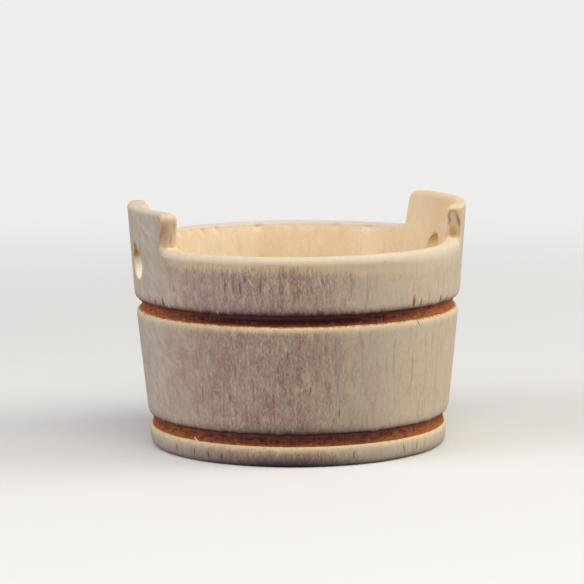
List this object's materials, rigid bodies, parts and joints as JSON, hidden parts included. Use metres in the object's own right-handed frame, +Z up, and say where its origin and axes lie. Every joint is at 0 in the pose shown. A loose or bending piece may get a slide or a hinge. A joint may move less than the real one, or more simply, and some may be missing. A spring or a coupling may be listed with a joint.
{
  "type": "washtub",
  "caption": "Small turned wooden washtub with upright holed ears, dark bands let into turned grooves and a let-in round bottom, open at the top to hold water and washing.",
  "frame": {"origin": "middle of the standing face, on the axis of the tub", "axes": "+Z up along the axis of the tub, X through the middle of both ears, Y across between the ears"},
  "size_m": [0.0334, 0.0328, 0.0239],
  "materials": {
    "wall_wood": "bare turned wood, fine vertical grain",
    "bottom_wood": "bare sanded wood",
    "band_wood": "dark brown stain, satin"
  },
  "bodies": {
    "root": {"tub_wall": "wall_wood", "bottom_disc": "bottom_wood", "lower_hoop": "band_wood", "upper_hoop": "band_wood"}
  },
  "joints": []
}
